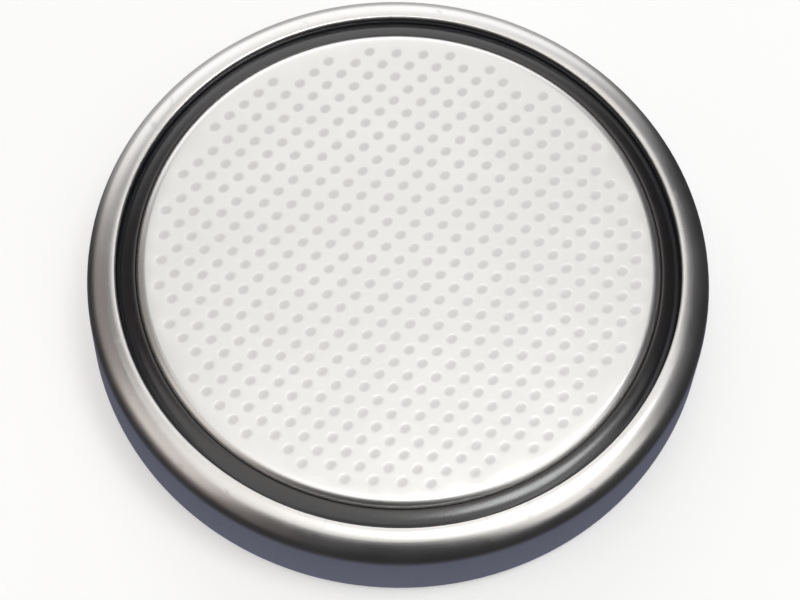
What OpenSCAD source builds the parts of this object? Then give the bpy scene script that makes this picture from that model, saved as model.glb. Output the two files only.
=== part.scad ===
// Lithium coin cell, negative cap upwards.
// The origin is at the centre of the positive face, with +Z up through the negative face.
// Every piece is a ring or a disc about Z, so each module turns one half section.

/* [Cell] */
// Outside diameter of the can
cell_d = 20; // [16:0.1:30]
// Height over the two contact faces
cell_h = 3.2; // [2.5:0.1:5.4]

/* [Steel] */
// Thickness of the stainless sheet of the can and the cap
sheet = 0.25; // [0.2:0.01:0.3]
// Outside radius of the can's lower corner
corner_r = 0.35; // [0.32:0.01:0.6]

/* [Crimp] */
// Outside radius of the can's rim, where it is rolled over the seal
crimp_r = 0.86; // [0.78:0.01:1.1]
// Angle that the rolled rim turns through, measured from the straight wall
crimp_angle = 97; // [80:1:105]
// Drop from the negative face to the top of the rolled rim
rim_drop = 0.1; // [0.04:0.01:0.2]

/* [Negative cap] */
// Outside radius of the shoulder round the flat face
shoulder_r = 0.32; // [0.3:0.01:0.5]
// Slope of the side below the shoulder, measured from level
side_angle = 75; // [50:1:80]
// Hollow radius where the side turns out into the flange
hollow_r = 0.12; // [0.05:0.01:0.15]
// Width of the flat flange between the hollow and the turned-down edge
flange_w = 0.56; // [0.2:0.01:0.7]

/* [Seal] */
// Thickness of the seal where it is squeezed between the can and the cap
seal_t = 0.25; // [0.2:0.01:0.3]
// Thickness of the seal's foot, under the cap's edge
foot_t = 0.4; // [0.2:0.05:0.6]
// Thickness of the seal's inner wall, which holds the cap's edge from inside
inner_wall_t = 0.35; // [0.2:0.05:0.5]
// Height of the inner wall above the foot
inner_wall_h = 0.8; // [0.4:0.1:1.2]
// Rise of the seal's exposed edge, at the cap, above the underside of the rolled rim
edge_rise = 0.12; // [0.05:0.01:0.16]
// Radius of the round on the exposed edge, which falls away towards the rim
edge_round = 1.2; // [0.9:0.05:2]

/* [Electrodes] */
// Thickness of the lithium disc
lithium_t = 0.6; // [0.3:0.05:0.9]
// Distance in from the edge of the flat face to the edge of the lithium disc
lithium_inset = 0.4; // [0.2:0.05:2]
// Thickness of the separator
separator_t = 0.15; // [0.05:0.05:0.3]
// Free width between the separator's edge and the seal
separator_gap = 0.28; // [0.05:0.01:0.55]
// Free width for electrolyte between the collector ring and the seal
ring_gap = 0.6; // [0.3:0.05:1]
// Thickness of the collector ring's sheet
collector_t = 0.15; // [0.1:0.01:0.25]
// Height of the collector ring
collector_h = 0.9; // [0.5:0.1:1.5]
// Width of the collector's foot, which lies under the pellet
collector_foot = 0.8; // [0.3:0.1:2]

/* [Fits] */
// Clearance between the seal, pellet or ring and the round faces beside them
fit_gap = 0.02; // [0.01:0.005:0.04]

/* [Hidden] */
$fn = 128;

// Can: the bend centres of the lower corner and of the rolled rim, as [radius, height]
cell_r = cell_d / 2;
wall_in = cell_r - sheet;
corner = [cell_r - corner_r, corner_r];
crimp = [cell_r - crimp_r, cell_h - rim_drop - crimp_r];
lip_in = crimp_r - sheet;

// Cap: the turned-down edge follows the rolled rim, one seal thickness inside it
edge_bend = lip_in - seal_t;
edge_out = crimp.x + edge_bend;
edge_in = edge_out - sheet;
edge_z = sheet + foot_t;
flange_z = crimp.y + edge_bend;

// Cap: the shoulder and the hollow are joined by the sloping side, which touches both
hollow = [crimp.x - flange_w, flange_z + hollow_r];
side_drop = cell_h - flange_z - (shoulder_r + hollow_r) * (1 - cos(side_angle));
side_run = side_drop / tan(side_angle);
face_r = hollow.x - (shoulder_r + hollow_r) * sin(side_angle) - side_run;
shoulder = [face_r, cell_h - shoulder_r];

// Seal: it fills the hollow of the cap, and its edge shows between the side and the rim
seal_out = wall_in - fit_gap;
seal_in = edge_in - fit_gap - inner_wall_t;
inner_wall_z = edge_z + inner_wall_h;
tuck_r = hollow_r - fit_gap;
lip_clear = crimp_angle + asin(fit_gap / lip_in);
exposed_z = crimp.y + lip_in + edge_rise;
exposed_in = hollow.x - tuck_r * sin(side_angle)
    - (exposed_z - hollow.y + tuck_r * cos(side_angle)) / tan(side_angle);
exposed_out = crimp.x + lip_in * cos(lip_clear);
exposed_centre = [exposed_in, exposed_z - edge_round];
exposed_end = acos((exposed_out - exposed_in) / edge_round);

// Stack between the two halves: pellet, separator, lithium
lithium_z = cell_h - sheet - lithium_t;
separator_z = lithium_z - separator_t;
lithium_r = face_r - lithium_inset;
collector_r = seal_in - ring_gap;
collector_wall_in = collector_r - collector_t;
collector_foot_in = collector_r - collector_foot;
collector_step_z = sheet + collector_t;
pellet_r = collector_wall_in - fit_gap;
pellet_foot_r = collector_foot_in - fit_gap;

// Separator: it stops short of the seal, and where its top lies above the underside of the
// flange it also stays inside the cap's sloping side
side_in = hollow - (hollow_r + sheet) * [sin(side_angle), cos(side_angle)];
side_room = side_in.x - (lithium_z - side_in.y) / tan(side_angle) - fit_gap;
under_flange = lithium_z < flange_z - sheet + fit_gap / 2;
seal_room = seal_in - separator_gap;
separator_r = under_flange ? seal_room : min(seal_room, side_room);

// Points of an arc about c, from one angle to another, one about every 5 degrees
function arc(c, r, from, to) = let (steps = ceil(abs(to - from) / 5))
    [for (i = [0:steps]) let (a = from + (to - from) * i / steps) c + r * [cos(a), sin(a)]];

// Stainless cup: floor, lower corner, straight wall and rolled rim
module positive_can() {
    outside = concat(
        [[0, 0]],
        arc(corner, corner_r, -90, 0),
        arc(crimp, crimp_r, 0, crimp_angle)
    );
    inside = concat(
        arc(crimp, lip_in, crimp_angle, 0),
        arc(corner, corner_r - sheet, 0, -90),
        [[0, sheet]]
    );
    color("silver")
        rotate_extrude()
            polygon(concat(outside, inside));
}

// Stainless cap: flat face, shoulder, sloping side, flange and turned-down edge
module negative_cap() {
    outside = concat(
        [[0, cell_h]],
        arc(shoulder, shoulder_r, 90, 90 - side_angle),
        arc(hollow, hollow_r, 270 - side_angle, 270),
        arc(crimp, edge_bend, 90, 0),
        [[edge_out, edge_z]]
    );
    inside = concat(
        [[edge_in, edge_z]],
        arc(crimp, edge_bend - sheet, 0, 90),
        arc(hollow, hollow_r + sheet, 270, 270 - side_angle),
        arc(shoulder, shoulder_r - sheet, 90 - side_angle, 90),
        [[0, cell_h - sheet]]
    );
    color("gainsboro")
        rotate_extrude()
            polygon(concat(outside, inside));
}

// Polypropylene seal ring: J section round the cap's edge, squeezed under the rolled rim
module gasket() {
    against_can = concat(
        [[seal_in, sheet]],
        arc(corner - [fit_gap, 0], corner_r - sheet, -90, 0),
        arc(crimp, lip_in - fit_gap, 0, lip_clear)
    );
    exposed = arc(exposed_centre, edge_round, exposed_end, 90);
    against_cap = concat(
        arc(hollow, tuck_r, 270 - side_angle, 270),
        arc(crimp, edge_bend + fit_gap, 90, 0),
        [[edge_out + fit_gap, edge_z], [edge_in - fit_gap, edge_z]],
        [[edge_in - fit_gap, inner_wall_z], [seal_in, inner_wall_z]]
    );
    color("dimgray")
        rotate_extrude()
            polygon(concat(against_can, exposed, against_cap));
}

// Lithium disc, pressed on the underside of the cap
module lithium_anode() {
    color("lightsteelblue")
        translate([0, 0, lithium_z])
            cylinder(r = lithium_r, h = lithium_t);
}

// Non-woven separator, wider than both electrodes
module separator() {
    color("whitesmoke")
        translate([0, 0, separator_z])
            cylinder(r = separator_r, h = separator_t);
}

// Pressed manganese dioxide pellet, stepped over the collector's foot
module cathode_pellet() {
    color("darkslategray")
        rotate_extrude()
            polygon([
                [0, sheet],
                [pellet_foot_r, sheet],
                [pellet_foot_r, collector_step_z],
                [pellet_r, collector_step_z],
                [pellet_r, separator_z],
                [0, separator_z],
            ]);
}

// Stainless collector: an L-section ring that grips the pellet and lies on the can's floor
module cathode_collector() {
    color("gray")
        rotate_extrude()
            polygon([
                [collector_foot_in, sheet],
                [collector_r, sheet],
                [collector_r, sheet + collector_h],
                [collector_wall_in, sheet + collector_h],
                [collector_wall_in, collector_step_z],
                [collector_foot_in, collector_step_z],
            ]);
}

positive_can();
negative_cap();
gasket();
lithium_anode();
separator();
cathode_pellet();
cathode_collector();
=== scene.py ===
from math import acos, asin, cos, degrees, pi, radians, sin

import bpy
from mathutils import Matrix, Vector


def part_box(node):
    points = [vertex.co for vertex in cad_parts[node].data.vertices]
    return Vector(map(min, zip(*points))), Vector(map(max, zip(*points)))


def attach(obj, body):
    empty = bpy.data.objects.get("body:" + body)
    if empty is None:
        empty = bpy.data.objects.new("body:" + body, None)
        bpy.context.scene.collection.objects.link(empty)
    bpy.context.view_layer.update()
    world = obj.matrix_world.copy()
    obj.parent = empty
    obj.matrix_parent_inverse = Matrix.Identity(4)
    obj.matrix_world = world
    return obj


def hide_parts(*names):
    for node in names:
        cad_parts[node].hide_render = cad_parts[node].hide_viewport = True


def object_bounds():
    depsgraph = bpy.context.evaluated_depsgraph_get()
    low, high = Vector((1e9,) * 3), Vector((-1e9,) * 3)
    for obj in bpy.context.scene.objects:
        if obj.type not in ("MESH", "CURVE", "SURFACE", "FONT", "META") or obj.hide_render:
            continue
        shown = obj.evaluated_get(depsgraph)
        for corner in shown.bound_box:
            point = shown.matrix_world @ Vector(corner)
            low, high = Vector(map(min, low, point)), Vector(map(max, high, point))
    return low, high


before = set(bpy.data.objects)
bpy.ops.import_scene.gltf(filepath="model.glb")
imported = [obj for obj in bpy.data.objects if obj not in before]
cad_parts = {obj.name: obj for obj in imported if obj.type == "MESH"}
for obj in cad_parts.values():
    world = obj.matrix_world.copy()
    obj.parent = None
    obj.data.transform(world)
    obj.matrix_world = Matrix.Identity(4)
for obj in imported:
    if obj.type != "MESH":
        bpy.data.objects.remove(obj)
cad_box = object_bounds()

# Camera: a long lens close to the cell, looking down on the negative face.
# It aims at the middle of the cell and is turned a little about its own line of sight.
middle = (Vector(cad_box[0]) + Vector(cad_box[1])) / 2
elevation = radians(64.48)
roll_turn = radians(2.97)
camera_distance = 0.090
toward_camera = Vector((0, -cos(elevation), sin(elevation)))
bpy.ops.object.camera_add(location=middle + camera_distance * toward_camera)
camera = bpy.context.object
level = toward_camera.to_track_quat("Z", "Y").to_matrix()
camera.rotation_euler = (level @ Matrix.Rotation(roll_turn, 3, "Z")).to_euler()
camera.data.sensor_width = 36
camera.data.lens = 125.0
camera.data.shift_x = 0.0022
camera.data.shift_y = -0.0233
camera.data.clip_start = 0.001
bpy.context.scene.camera = camera
bpy.context.scene.view_settings.view_transform = "Standard"


# Can: deep-drawn from 0.25 mm stainless sheet, in one piece from floor to rim.
# The wall keeps fine upright draw marks. The rim is rolled inwards over the seal by a
# turning die, which leaves faint marks that run round it.
class Wire:
    """One output of a shader node. Sums and products of wires add Math nodes."""

    def __init__(self, tree, socket=None):
        self.tree = tree
        self.socket = socket

    def node(self, kind, settings=None, sockets=None, output=0):
        """Adds a node: its settings first, then the values or wires of its sockets."""
        made = self.tree.nodes.new("ShaderNode" + kind)
        for key, value in (settings or {}).items():
            setattr(made, key, value)
        for key, value in (sockets or {}).items():
            if isinstance(value, Wire):
                self.tree.links.new(value.socket, made.inputs[key])
            else:
                made.inputs[key].default_value = value
        return Wire(self.tree, made.outputs[output])

    def math(self, operation, first, second=0.0):
        return self.node("Math", {"operation": operation}, {0: first, 1: second})

    def __add__(self, other):
        return self.math("ADD", self, other)

    def __sub__(self, other):
        return self.math("SUBTRACT", self, other)

    def __rsub__(self, other):
        return self.math("SUBTRACT", other, self)

    def __mul__(self, other):
        return self.math("MULTIPLY", self, other)

    def __truediv__(self, other):
        return self.math("DIVIDE", self, other)

    __radd__ = __add__
    __rmul__ = __mul__

    def larger(self, other):
        return self.math("MAXIMUM", self, other)

    def rise(self, start, end):
        """0 below start and 1 above end, eased between them."""
        return self.node(
            "MapRange",
            {"interpolation_type": "SMOOTHSTEP"},
            {"Value": self, "From Min": start, "From Max": end},
        )

    def point(self, x, y, z):
        return self.node("CombineXYZ", None, {0: x, 1: y, 2: z})

    def split(self):
        return [self.node("SeparateXYZ", None, {0: self}, axis) for axis in range(3)]

    def noise(self, place, scale, detail=3.0):
        return self.node("TexNoise", None, {"Vector": place, "Scale": scale, "Detail": detail})

    def blend(self, first, second):
        """first where the wire is 0, second where it is 1."""
        colours = [c if isinstance(c, Wire) else (*c, 1.0) for c in (first, second)]
        return self.node("Mix", {"data_type": "RGBA"}, {0: self, 6: colours[0], 7: colours[1]}, 2)

    def bump(self, depth):
        return self.node("Bump", None, {"Height": self, "Strength": 1.0, "Distance": depth})


def finish(name, piece, slot, metal, colour, roughness, height, depth, **constants):
    """Gives a piece its material: what varies over the surface is wired, the rest is constant."""
    tree = material_of[name].node_tree
    shader = tree.nodes["Principled BSDF"]
    shader.inputs["Metallic"].default_value = metal
    for socket, value in constants.items():
        shader.inputs[socket.replace("_", " ")].default_value = value
    tree.links.new(colour.socket, shader.inputs["Base Color"])
    tree.links.new(roughness.socket, shader.inputs["Roughness"])
    tree.links.new(height.bump(depth).socket, shader.inputs["Normal"])
    piece.data.materials.clear()
    piece.data.materials.append(material_of[name])
    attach(piece, "root")


material_of = {}


def start_material(name):
    """A new material, as a wire to build on and its place on the piece in millimetres."""
    material_of[name] = bpy.data.materials.new(name)
    material_of[name].use_nodes = True
    wire = Wire(material_of[name].node_tree)
    place = wire.node("TexCoord", output=3)
    millimetres = wire.node(
        "VectorMath", {"operation": "SCALE"}, {0: place, "Scale": 1000.0}
    )
    return wire, millimetres


def around_axis(wire, place):
    """The unit direction from the axis, the distance from it and the height."""
    x, y, z = place.split()
    radius = wire.math("SQRT", x * x + y * y)
    divisor = radius.larger(0.01)
    return x / divisor, y / divisor, radius, z


def arc(centre, radius, start, end, steps):
    """Stations along an arc about centre, from one angle to another, in degrees."""
    angles = [radians(start + (end - start) * i / steps) for i in range(steps + 1)]
    return [(centre[0] + radius * cos(a), centre[1] + radius * sin(a)) for a in angles]


def turned(name, stations, ends="closed", sides=160):
    """A piece of revolution: a loop of edges is extruded from each (radius, height) to the next."""
    bpy.ops.object.select_all(action="DESELECT")
    radius, height = stations[0]
    bpy.ops.mesh.primitive_circle_add(
        vertices=sides,
        radius=radius,
        location=(0, 0, height),
        fill_type="NGON" if ends == "closed" else "NOTHING",
    )
    piece = bpy.context.object
    piece.name = name
    piece.data.name = name
    bpy.ops.object.mode_set(mode="EDIT")
    bpy.ops.mesh.select_mode(type="EDGE")
    bpy.ops.mesh.select_all(action="SELECT")
    for next_radius, next_height in stations[1:]:
        bpy.ops.mesh.extrude_edges_move(
            TRANSFORM_OT_translate={"value": (0, 0, next_height - height)}
        )
        grow = next_radius / radius
        bpy.ops.transform.resize(value=(grow, grow, 1), center_override=(0, 0, next_height))
        radius, height = next_radius, next_height
    if ends == "ring":
        bpy.ops.mesh.select_all(action="DESELECT")
        bpy.ops.mesh.select_non_manifold()
        bpy.ops.mesh.bridge_edge_loops()
    else:
        bpy.ops.mesh.edge_face_add()
    bpy.ops.mesh.select_all(action="SELECT")
    bpy.ops.mesh.normals_make_consistent(inside=False)
    bpy.ops.object.mode_set(mode="OBJECT")
    bpy.ops.object.transform_apply(location=True, rotation=True, scale=True)
    return piece


smooth_angle = radians(40)
bevel_angle = radians(50)
weld = 0.0000002


def soften(piece, width):
    """Breaks the sharp edges of a piece, and shades its rounds smooth."""
    bevel = piece.modifiers.new("broken_edges", "BEVEL")
    bevel.limit_method = "ANGLE"
    bevel.angle_limit = bevel_angle
    bevel.width = width
    bevel.segments = 3
    bpy.ops.object.modifier_apply(modifier=bevel.name)
    bpy.ops.object.mode_set(mode="EDIT")
    bpy.ops.mesh.select_all(action="SELECT")
    bpy.ops.mesh.remove_doubles(threshold=weld)
    bpy.ops.object.mode_set(mode="OBJECT")
    bpy.ops.object.shade_smooth_by_angle(angle=smooth_angle)


can_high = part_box("positive_can")[1]
sheet = 0.00025
corner_r = 0.00035
corner = (can_high.x - corner_r, corner_r)
roll_r = 0.00086
roll = (can_high.x - roll_r, can_high.z - roll_r)
roll_angle = 97
lip_r = roll_r - sheet
can = turned(
    "drawn_can",
    arc(corner, corner_r, -90, 0, 6)
    + arc(roll, roll_r, 0, roll_angle, 16)
    + arc(roll, lip_r, roll_angle, 0, 12)
    + arc(corner, corner_r - sheet, 0, -90, 3),
)
soften(can, 0.00005)
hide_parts("positive_can")

wire, place = start_material("drawn_stainless")
dir_x, dir_y, radius, z = around_axis(wire, place)
upright = wire.noise(wire.point(dir_x * 150, dir_y * 150, z * 0.25), 1.0)
turned_marks = wire.noise(wire.point(dir_x * 2, dir_y * 2, (radius - z) * 16), 1.0)
rim_start, rim_full = 2.2, 2.5
on_rim = z.rise(rim_start, rim_full)
marks = upright * (1 - on_rim) + turned_marks * on_rim
handling = wire.noise(place, 0.45, 4.0)
scuffs = wire.noise(wire.point(dir_x * 30, dir_y * 30, z * 9), 1.0, 6.0).rise(0.60, 0.72)
tint = handling.rise(0.35, 0.7)
can_warm, can_pale, can_scuffed = (0.75, 0.735, 0.715), (0.79, 0.78, 0.765), (0.68, 0.67, 0.66)
fine_grain = 0.0000012
finish(
    "drawn_stainless",
    can,
    "can_steel",
    metal=1.0,
    colour=scuffs.blend(tint.blend(can_warm, can_pale), can_scuffed),
    roughness=0.25 + 0.07 * marks + 0.04 * tint + 0.06 * scuffs,
    height=marks + 0.4 * scuffs,
    depth=fine_grain,
)


# Negative cap: pressed from the same sheet. Its flat face is coined with rows of small dimples,
# at 45 degrees to X and a little oval. A rounded shoulder, a steep side and a flange lead to the
# edge, which is turned down into the seal.
cap_low, cap_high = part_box("negative_cap")
face_z = cap_high.z
shoulder_r = 0.00032
hollow_r = 0.00012
side_angle = 75
side_x = sin(radians(side_angle))
side_z = cos(radians(side_angle))
seal_t = 0.00025
flange_w = 0.00056
edge_bend = lip_r - seal_t
flange_z = roll[1] + edge_bend
hollow = (roll[0] - flange_w, flange_z + hollow_r)
side_drop = face_z - flange_z - (shoulder_r + hollow_r) * (1 - side_z)
side_run = side_drop * side_z / side_x
face_r = hollow[0] - (shoulder_r + hollow_r) * side_x - side_run
edge_out = roll[0] + edge_bend
edge_in = edge_out - sheet
shoulder = (face_r, face_z - shoulder_r)
cap = turned(
    "pressed_cap",
    arc(shoulder, shoulder_r, 90, 90 - side_angle, 8)
    + arc(hollow, hollow_r, 270 - side_angle, 270, 4)
    + arc(roll, edge_bend, 90, 0, 8)
    + [(edge_out, cap_low.z), (edge_in, cap_low.z)]
    + arc(roll, edge_bend - sheet, 0, 90, 4)
    + arc(hollow, hollow_r + sheet, 270, 270 - side_angle, 6)
    + arc(shoulder, shoulder_r - sheet, 90 - side_angle, 90, 3),
    ends="open",
)

pitch = 0.00063
dimple_r = 0.000205
dimple_stretch = 1.12
margin = 0.00003
slopes = ((0.00006, -0.000004), (0.00007, -0.000003))
plain_border = 0.00030
shoulder_gap = 0.0001
tile_edge = 0.49 * pitch
tile_weld = 0.000001
tiles = 2 * int(face_r / pitch) + 1
first = -(tiles - 1) / 2 * pitch
bpy.ops.object.select_all(action="DESELECT")
bpy.ops.mesh.primitive_plane_add(size=pitch, location=(first, first, face_z))
dimples = bpy.context.object
bpy.ops.object.mode_set(mode="EDIT")
bpy.ops.mesh.select_mode(type="VERT")
bpy.ops.mesh.delete(type="ONLY_FACE")
bpy.ops.mesh.select_all(action="SELECT")
bpy.ops.mesh.subdivide(number_cuts=3)
bpy.ops.mesh.primitive_circle_add(
    vertices=16, radius=dimple_r + margin, location=(first, first, face_z)
)
bpy.ops.transform.resize(
    value=(1, dimple_stretch, 1), center_override=(first, first, face_z)
)
bpy.ops.mesh.select_all(action="SELECT")
bpy.ops.mesh.bridge_edge_loops()
bpy.ops.object.mode_set(mode="OBJECT")
for vertex in dimples.data.vertices:
    vertex.select = max(abs(vertex.co.x), abs(vertex.co.y)) < tile_edge
for part in [*dimples.data.edges, *dimples.data.polygons]:
    part.select = all(dimples.data.vertices[v].select for v in part.vertices)
bpy.ops.object.mode_set(mode="EDIT")
bpy.ops.mesh.edge_face_add()
bpy.ops.mesh.inset(thickness=margin, depth=0)
for thickness, depth in slopes:
    bpy.ops.mesh.inset(thickness=thickness, depth=depth)
bpy.ops.object.mode_set(mode="OBJECT")
for axis in range(2):
    row = dimples.modifiers.new("row", "ARRAY")
    row.count = tiles
    row.use_relative_offset = False
    row.use_constant_offset = True
    row.constant_offset_displace = [pitch * (axis == 0), pitch * (axis == 1), 0]
    row.use_merge_vertices = True
    row.merge_threshold = tile_weld
    bpy.ops.object.modifier_apply(modifier=row.name)
bpy.ops.object.transform_apply(location=True, rotation=True, scale=True)
for face in dimples.data.polygons:
    tile = Vector([round(c / pitch) * pitch for c in face.center[:2]])
    corners = [dimples.data.vertices[v].co.xy for v in face.vertices]
    flat = any(max(abs(c.x - tile.x), abs(c.y - tile.y)) > tile_edge for c in corners)
    past_edge = max(c.length for c in corners) > face_r - shoulder_gap
    face.select = tile.length > face_r - plain_border or (flat and past_edge)
bpy.ops.object.mode_set(mode="EDIT")
bpy.ops.mesh.delete(type="FACE")
bpy.ops.mesh.select_all(action="SELECT")
bpy.ops.transform.rotate(value=radians(45), orient_axis="Z", center_override=(0, 0, 0))
bpy.ops.object.mode_set(mode="OBJECT")

bpy.ops.object.select_all(action="DESELECT")
dimples.select_set(True)
cap.select_set(True)
bpy.context.view_layer.objects.active = cap
bpy.ops.object.join()
bpy.ops.object.mode_set(mode="EDIT")
bpy.ops.mesh.select_mode(type="EDGE")
bpy.ops.mesh.select_all(action="DESELECT")
bpy.ops.mesh.select_non_manifold()
bpy.ops.mesh.fill(use_beauty=True)
bpy.ops.mesh.select_all(action="SELECT")
bpy.ops.mesh.normals_make_consistent(inside=False)
bpy.ops.object.mode_set(mode="OBJECT")
bpy.ops.object.shade_smooth_by_angle(angle=smooth_angle)
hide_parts("negative_cap")

wire, place = start_material("dimpled_stainless")
x, y, z = place.split()
radius = wire.math("SQRT", x * x + y * y)
face_height, face_edge = face_z * 1000, face_r * 1000
sunk = 1 - z.rise(face_height - 0.0065, face_height - 0.0005)
in_dimples = sunk * (1 - radius.rise(face_edge - 0.03, face_edge))
grain = wire.noise(place, 22.0, 2.0)
rolled = wire.noise(wire.point(x * 1.5, y * 24, z * 24), 1.0)
handling = wire.noise(place, 0.35, 4.0).rise(0.4, 0.7)
# The sunk dimples are painted a darker grey than the face: painted shade in the recesses. They are
# also given a rougher finish.
cap_warm, cap_pale, dimple_painted_shade = (0.82, 0.815, 0.80), (0.84, 0.835, 0.82), (0.66, 0.645, 0.64)
finish(
    "dimpled_stainless",
    cap,
    "cap_steel",
    metal=1.0,
    colour=in_dimples.blend(handling.blend(cap_warm, cap_pale), dimple_painted_shade),
    roughness=0.27 + 0.05 * grain + 0.04 * rolled + 0.015 * handling + 0.16 * in_dimples,
    height=0.6 * grain + 0.4 * rolled,
    depth=fine_grain,
)


# Seal: a moulded polypropylene ring of J section, squeezed between the can and the cap's edge.
# Its exposed edge is dark, rounded and glossy with a thin film of sealant.
seal_low, seal_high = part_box("gasket")
fit = 0.00002
inner_wall_t = 0.00035
inner_wall_h = 0.0008
seal_in = edge_in - fit - inner_wall_t
tuck_r = hollow_r - fit
bead_r = 0.0012
bead_rise = seal_high.z - hollow[1] + tuck_r * side_z
bead_in = hollow[0] - tuck_r * side_x - bead_rise * side_z / side_x
lip_end = roll_angle + degrees(asin(fit / lip_r))
lip_edge = roll[0] + lip_r * cos(radians(lip_end))
bead_end = degrees(acos((lip_edge - bead_in) / bead_r))
seal = turned(
    "moulded_seal",
    [(seal_in, seal_low.z)]
    + arc((corner[0] - fit, corner[1]), corner_r - sheet, -90, 0, 4)
    + arc(roll, lip_r - fit, 0, lip_end, 12)
    + arc((bead_in, seal_high.z - bead_r), bead_r, bead_end, 90, 8)
    + arc(hollow, tuck_r, 270 - side_angle, 270, 4)
    + arc(roll, edge_bend + fit, 90, 0, 8)
    + [
        (edge_out + fit, cap_low.z),
        (edge_in - fit, cap_low.z),
        (edge_in - fit, cap_low.z + inner_wall_h),
        (seal_in, cap_low.z + inner_wall_h),
    ],
    ends="ring",
)
soften(seal, 0.00002)
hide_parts("gasket")

wire, place = start_material("sealed_polypropylene")
x, y, z = place.split()
radius = wire.math("SQRT", x * x + y * y)
film = wire.noise(place, 1.6, 4.0)
specks = wire.noise(place, 30.0, 2.0)
toward_rim = radius.rise(8.5, 9.05)
brown_black, blue_black = (0.012, 0.009, 0.008), (0.008, 0.010, 0.014)
base = toward_rim.blend(brown_black, blue_black)
finish(
    "sealed_polypropylene",
    seal,
    "seal_plastic",
    metal=0.0,
    colour=(film * 0.4).blend(base, (0.016, 0.017, 0.020)),
    roughness=0.14 + 0.08 * film + 0.04 * specks,
    height=0.85 * film + 0.15 * specks,
    depth=0.0000015,
    Specular_IOR_Level=0.85,
)


# Lithium anode: a soft grey disc punched from rolled strip and pressed on the cap's underside.
# Its punched edge is rolled over, and the felt has left a shallow ring in its lower face.
low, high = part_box("lithium_anode")
lithium_r = high.x
ring_depth = 0.00002
lithium = turned(
    "punched_lithium",
    [
        (0.50 * lithium_r, low.z),
        (0.52 * lithium_r, low.z + ring_depth),
        (0.54 * lithium_r, low.z),
        (lithium_r, low.z),
        (lithium_r, high.z),
    ],
)
soften(lithium, 0.00008)
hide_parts("lithium_anode")

wire, place = start_material("rolled_lithium")
x, y, z = place.split()
rolled = wire.noise(wire.point(x * 0.8, y * 14, z * 14), 1.0)
tarnish = wire.noise(place, 0.9, 5.0).rise(0.35, 0.65)
finish(
    "rolled_lithium",
    lithium,
    "lithium_metal",
    metal=1.0,
    colour=tarnish.blend((0.66, 0.68, 0.71), (0.50, 0.51, 0.55)),
    roughness=0.38 + 0.10 * rolled + 0.18 * tarnish,
    height=rolled + 0.5 * tarnish,
    depth=0.000003,
)


# Separator: a disc cut from fine non-woven polypropylene felt, wider than both electrodes.
# It is pressed a little thinner where the lithium lies on it.
low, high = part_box("separator")
press_depth = 0.00001
press_slope = 0.00012
separator = turned(
    "cut_separator",
    [
        (high.x, low.z),
        (high.x, high.z),
        (lithium_r + press_slope, high.z),
        (lithium_r, high.z - press_depth),
    ],
)
soften(separator, 0.00003)
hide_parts("separator")

wire, place = start_material("polypropylene_felt")
x, y, z = place.split()
drift = wire.noise(place, 2.0)
bundles = []
for turn_x, turn_y in ((1.0, 0.0), (0.5, 0.87), (-0.5, 0.87)):
    along = x * turn_x + y * turn_y
    across = y * turn_x - x * turn_y + 0.4 * drift
    bundles.append(wire.noise(wire.point(along * 1.2, across * 22, z * 22), 1.0, 2.0))
fibres = bundles[0].larger(bundles[1].larger(bundles[2]))
strands = fibres.rise(0.50, 0.68)
finish(
    "polypropylene_felt",
    separator,
    "separator_felt",
    metal=0.0,
    colour=strands.blend((0.78, 0.78, 0.76), (0.92, 0.92, 0.90)),
    roughness=0.85 - 0.12 * strands,
    height=strands,
    depth=0.000010,
)


# Cathode: manganese dioxide powder with graphite, pressed into a hard black pellet. Its foot is
# stepped to sit over the collector ring, and its pressed edges are slightly broken.
low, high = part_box("cathode_pellet")
collector_low, collector_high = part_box("cathode_collector")
collector_sheet = 0.00015
collector_foot = 0.0008
foot_in = collector_high.x - collector_foot
step_z = low.z + collector_sheet
punch_depth = 0.00002
pellet = turned(
    "pressed_pellet",
    [
        (foot_in - fit, low.z),
        (foot_in - fit, step_z),
        (high.x, step_z),
        (high.x, high.z),
        (0.93 * high.x, high.z),
        (0.92 * high.x, high.z - punch_depth),
    ],
)
soften(pellet, 0.00006)
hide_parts("cathode_pellet")

wire, place = start_material("manganese_dioxide")
black, brown_grey, graphite = (0.022, 0.020, 0.019), (0.05, 0.046, 0.043), (0.16, 0.16, 0.165)
grains = wire.node("TexVoronoi", None, {"Vector": place, "Scale": 16.0})
coarse = wire.noise(place, 3.0, 6.0)
flakes = wire.noise(place, 40.0, 2.0).rise(0.62, 0.70)
finish(
    "manganese_dioxide",
    pellet,
    "manganese_dioxide",
    metal=0.0,
    colour=flakes.blend(coarse.blend(black, brown_grey), graphite),
    roughness=0.82 + 0.12 * coarse - 0.38 * flakes,
    height=0.6 * grains + 0.8 * coarse,
    depth=0.000020,
)


# Collector: a ring of thin stainless sheet with an L section. Its wall grips the pellet's edge
# and its foot lies between the pellet and the can's floor.
collector = turned(
    "formed_collector",
    [
        (foot_in, collector_low.z),
        (collector_high.x, collector_low.z),
        (collector_high.x, collector_high.z),
        (collector_high.x - collector_sheet, collector_high.z),
        (collector_high.x - collector_sheet, step_z),
        (foot_in, step_z),
    ],
    ends="ring",
)
soften(collector, 0.00003)
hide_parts("cathode_collector")

wire, place = start_material("rolled_stainless")
dir_x, dir_y, radius, z = around_axis(wire, place)
drawn = wire.noise(wire.point(dir_x * 170, dir_y * 170, (radius + z) * 0.4), 1.0)
patches = wire.noise(place, 1.1, 4.0).rise(0.35, 0.7)
finish(
    "rolled_stainless",
    collector,
    "collector_steel",
    metal=1.0,
    colour=patches.blend((0.60, 0.60, 0.60), (0.68, 0.675, 0.66)),
    roughness=0.28 + 0.10 * drawn + 0.08 * patches,
    height=drawn,
    depth=fine_grain,
)


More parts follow.
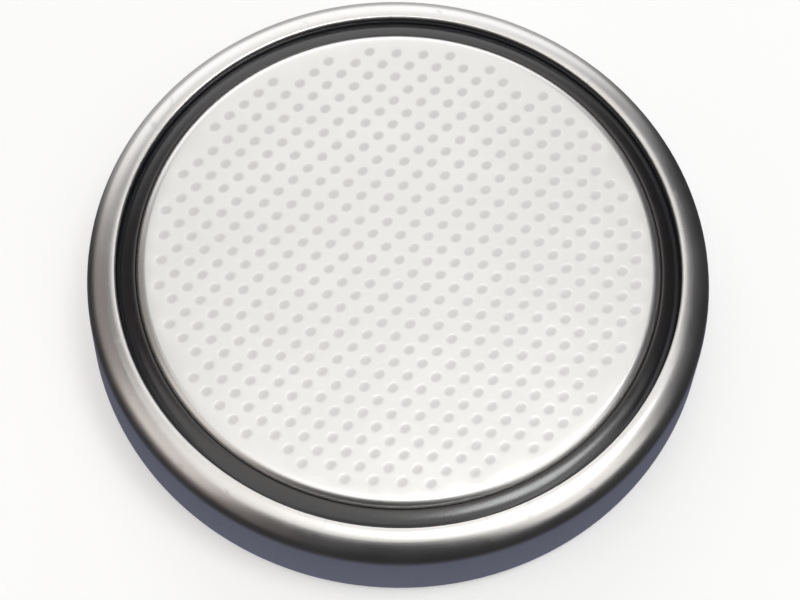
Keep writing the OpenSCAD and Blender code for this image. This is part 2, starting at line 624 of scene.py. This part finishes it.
# Floor: a plain pale sheet just under the cell, which glows more away from it and so joins the
# backdrop. The steel doesn't reflect it, so that the wall shows the dim studio round it, and
# from below it is clear.
bpy.ops.object.select_all(action="DESELECT")
floor_w = 0.5
floor_gap = 0.00002
bpy.ops.mesh.primitive_plane_add(size=floor_w, location=(0, 0, -floor_gap))
floor = bpy.context.object
floor.name = "floor"
floor.visible_glossy = False
paper = bpy.data.materials.new("pale_paper")
paper.use_nodes = True
tree = paper.node_tree
shader = tree.nodes["Principled BSDF"]
shader.inputs["Base Color"].default_value = (0.62, 0.62, 0.62, 1.0)
shader.inputs["Roughness"].default_value = 0.9
shader.inputs["Emission Strength"].default_value = 1.0
wire = Wire(tree)
place = wire.node("TexCoord", output=3)
away = wire.node("VectorMath", {"operation": "LENGTH"}, {0: place}, 1)
glow = away.rise(0.012, 0.11).blend((0.46, 0.46, 0.46), (0.96, 0.96, 0.96))
tree.links.new(glow.socket, shader.inputs["Emission Color"])
underside = wire.node("NewGeometry", output="Backfacing")
clear = wire.node("BsdfTransparent")
opaque = Wire(tree, shader.outputs[0])
one_way = wire.node("MixShader", None, {0: underside, 1: opaque, 2: clear})
tree.links.new(one_way.socket, tree.nodes["Material Output"].inputs["Surface"])
floor.data.materials.append(paper)


# Light: a broad softbox over the cell, a smaller and stronger one within it, and a dim studio
# all round, which is paler behind the cell, warm on the left and blue-grey below.
light_distance = 0.3
neutral, warm, cool = (1.0, 0.985, 0.96), (1.0, 0.95, 0.90), (0.97, 0.99, 1.0)


def softbox(name, direction, width, length, radiance, colour):
    """A rectangular light that faces the cell."""
    outward = Vector(direction).normalized()
    bpy.ops.object.light_add(type="AREA", location=light_distance * outward)
    light = bpy.context.object
    light.name = name
    light.rotation_euler = outward.to_track_quat("Z", "Y").to_euler()
    light.data.shape = "RECTANGLE"
    light.data.size = width
    light.data.size_y = length
    light.data.color = colour
    light.data.energy = radiance * pi * width * length


softbox("front", (0.0, -0.13, 0.99), 0.40, 0.22, 1.1, neutral)
softbox("overhead", (0, 0.43, 0.90), 0.13, 0.16, 0.89, neutral)
softbox("right", (0.68, -0.40, 0.61), 0.20, 0.24, 1.1, neutral)
softbox("left", (-0.78, -0.35, 0.52), 0.18, 0.24, 0.6, warm)
softbox("key", (0.26, 0.0, 0.97), 0.085, 0.085, 7.5, cool)

world = bpy.data.worlds.new("studio")
bpy.context.scene.world = world
world.use_nodes = True
tree = world.node_tree
wire = Wire(tree)
direction = wire.node("TexCoord", output=0)
x, y, z = direction.split()
dark, dim, blue_grey = (0.030, 0.030, 0.031), (0.040, 0.040, 0.045), (0.166, 0.172, 0.242)
warm_grey, bright, white = (0.34, 0.30, 0.28), (1.4, 1.4, 1.41), (1.0, 1.0, 1.0)
below = (0 - z).rise(0.6, 1.05).blend(dark, blue_grey)
above = z.rise(-0.1, 0.2).blend(below, dim)
leftward = (0 - x).rise(0.25, 0.95) * z.rise(-0.25, 0.1)
left = (leftward * 0.8).blend(above, warm_grey)
backward = (y - 0.6 * x.larger(0.0)).rise(0.45, 0.75)
over_horizon = z.rise(-0.06, 0.05)
around = (backward * (0.33 + 0.67 * over_horizon)).blend(left, bright)
backdrop = wire.node("LightPath", output="Is Camera Ray").blend(around, white)
tree.links.new(backdrop.socket, tree.nodes["Background"].inputs["Color"])
